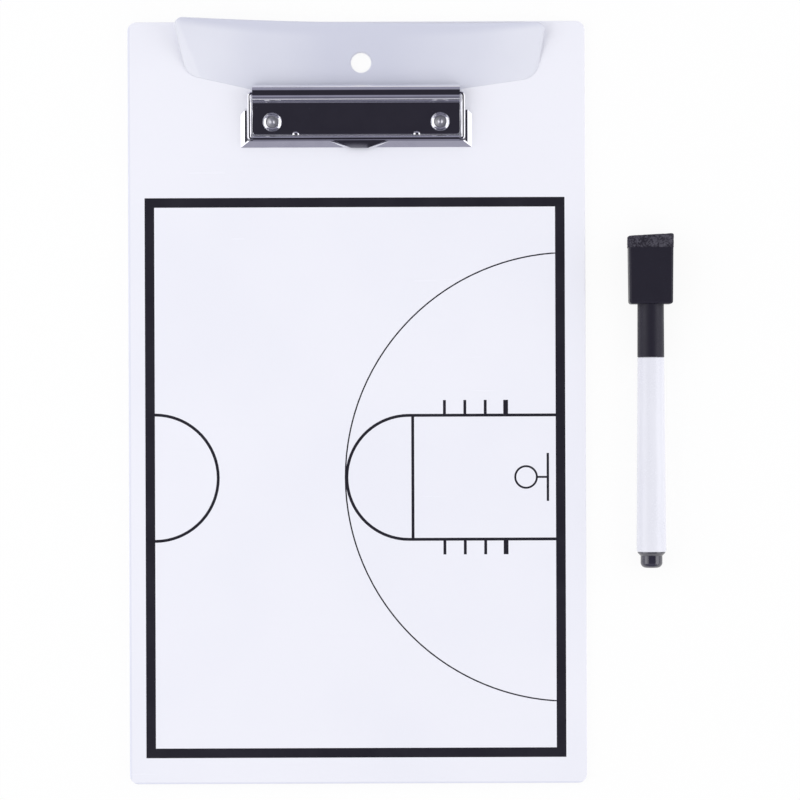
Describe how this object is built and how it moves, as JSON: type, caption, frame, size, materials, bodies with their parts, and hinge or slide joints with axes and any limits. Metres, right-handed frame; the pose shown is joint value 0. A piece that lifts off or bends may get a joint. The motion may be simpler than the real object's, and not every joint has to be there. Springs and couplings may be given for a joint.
{
  "type": "tactics board",
  "caption": "Flat dry-wipe court board with a sprung paper clip, a frosted hanging flap and a capped marker that carries an eraser, for drawing plays.",
  "frame": {"origin": "centre of the board's back face, which lies on the table", "axes": "+Z out of the written face, +Y up the board towards its clip, +X to the right as it is read"},
  "size_m": [0.2725, 0.3821, 0.0162],
  "materials": {
    "board_white": "smooth dry-wipe gloss",
    "court_ink": "printed satin black",
    "flap_frost": "frosted translucent sheet",
    "clip_chrome": "bright chrome plate",
    "spring_steel": "drawn spring wire",
    "barrel_white": "smooth moulded gloss",
    "cap_black": "moulded satin black",
    "ink_fibre": "ink-soaked fibre",
    "nib_fibre": "ink-soaked pressed fibre",
    "eraser_felt": "pressed black felt"
  },
  "bodies": {
    "board": {"board_panel": "board_white", "court_print_front": "court_ink", "court_print_back": "court_ink", "hang_flap": "flap_frost", "clip_base": "clip_chrome", "clip_rivets": "clip_chrome", "torsion_spring_left": "spring_steel", "torsion_spring_right": "spring_steel"},
    "jaw": {"clip_jaw": "clip_chrome", "clip_bail": "clip_chrome"},
    "marker": {"marker_barrel": "barrel_white", "marker_tail_plug": "cap_black", "ink_store": "ink_fibre", "nib_holder": "cap_black", "marker_nib": "nib_fibre"},
    "cap": {"marker_cap": "cap_black", "eraser_head": "cap_black", "eraser_felt": "eraser_felt"}
  },
  "joints": [
    {"name": "jaw_open", "type": "hinge", "parent": "board", "child": "jaw", "pos_m": [0, 0.15445, 0.0067], "axis": [-1, 0, 0], "range_deg": [0, 40], "stiffness_Nm_per_rad": 0.06, "springref_deg": -68.75, "deforming": ["torsion_spring_left", "torsion_spring_right"]},
    {"name": "marker_lift", "type": "slide", "parent": "board", "child": "marker", "axis": [0, 0, 1], "range_m": [0, 0.12]},
    {"name": "cap_pull", "type": "slide", "parent": "marker", "child": "cap", "axis": [0, 1, 0], "range_m": [0, 0.045]}
  ]
}
